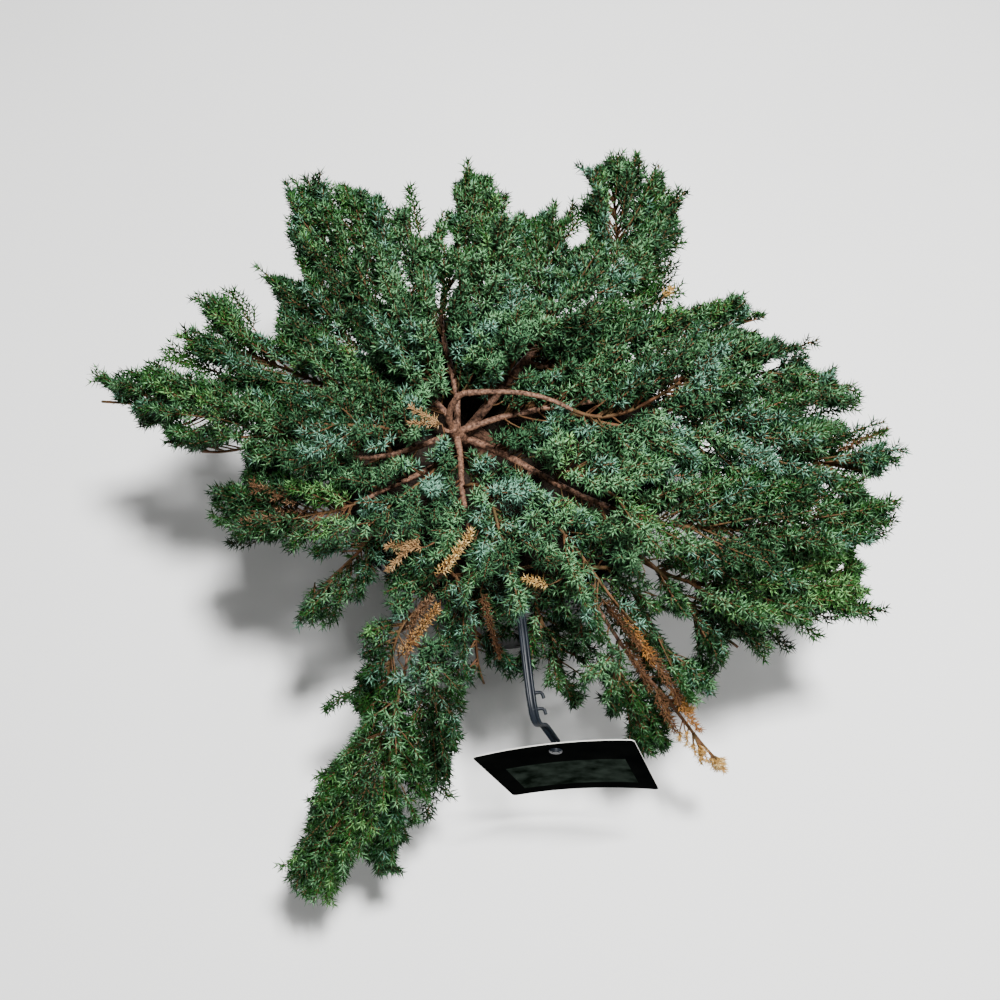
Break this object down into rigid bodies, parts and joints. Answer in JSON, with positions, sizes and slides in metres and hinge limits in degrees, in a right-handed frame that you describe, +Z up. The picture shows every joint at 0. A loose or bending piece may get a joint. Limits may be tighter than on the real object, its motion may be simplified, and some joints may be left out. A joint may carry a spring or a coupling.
{
  "type": "potted carpet juniper shrub",
  "caption": "Prostrate juniper with a short trunk, arching boughs and flat sprays of needles that hang over a black nursery pot with a plain label card.",
  "frame": {"origin": "middle of the pot's flat underside, on the surface the pot stands on", "axes": "+Z up along the pot's axis, +Y towards the back of the plant, +X to the right seen from the label card's side"},
  "size_m": [0.6562, 0.5615, 0.3652],
  "materials": {
    "black_plastic": "dull black moulded plastic",
    "compost": "dark fibrous potting compost",
    "card": "dark printed card under a clear film",
    "bark": "thin flaking reddish brown bark",
    "needles_green": "mid green needles",
    "needles_deep": "dark green needles",
    "needles_blue": "blue green needles with a pale bloom",
    "needles_fresh": "fresh light green needles",
    "needles_gold": "dead golden brown needles"
  },
  "bodies": {
    "root": {"pot": "black_plastic", "soil": "compost", "label_holder": "black_plastic", "label_card": "card", "trunk": "bark", "bough_hook": "bark", "bough_arch": "bark", "bough_east": "bark", "bough_northeast": "bark", "bough_east_northeast": "bark", "bough_north": "bark", "bough_north_northwest": "bark", "bough_northwest": "bark", "bough_west": "bark", "bough_southwest": "bark", "bough_south": "bark", "bough_south_southwest": "bark", "bough_tail": "bark", "bough_southeast": "bark", "bough_southeast_low": "bark", "bough_south_southeast": "bark", "bough_dead": "bark", "mass_west_tip": "needles_green", "mass_west_under": "needles_deep", "mass_west_northwest": "needles_green", "mass_southwest": "needles_deep", "mass_southwest_under": "needles_blue", "mass_northwest_low": "needles_deep", "mass_northwest": "needles_green", "mass_northwest_high": "needles_green", "mass_north_northwest": "needles_green", "mass_north": "needles_green", "mass_north_northeast": "needles_deep", "mass_spire": "needles_green", "mass_spire_east": "needles_green", "mass_east_northeast": "needles_green", "mass_east_upper": "needles_blue", "mass_east": "needles_blue", "mass_east_lower": "needles_green", "mass_southeast": "needles_fresh", "mass_southeast_under": "needles_deep", "mass_south_southeast": "needles_green", "mass_dead_under": "needles_deep", "mass_dead_tip": "needles_gold", "mass_south": "needles_deep", "mass_tail_left": "needles_green", "mass_tail_right": "needles_blue", "mass_tail_middle": "needles_deep", "mass_tail_end": "needles_fresh", "mass_tail_end_right": "needles_green", "crown_west": "needles_blue", "crown_northwest": "needles_green", "crown_north": "needles_green", "crown_northeast": "needles_green", "crown_east": "needles_blue", "crown_east_low": "needles_blue", "crown_southeast": "needles_green", "crown_south_southeast": "needles_green", "crown_south": "needles_blue", "crown_southwest": "needles_blue"}
  },
  "joints": []
}
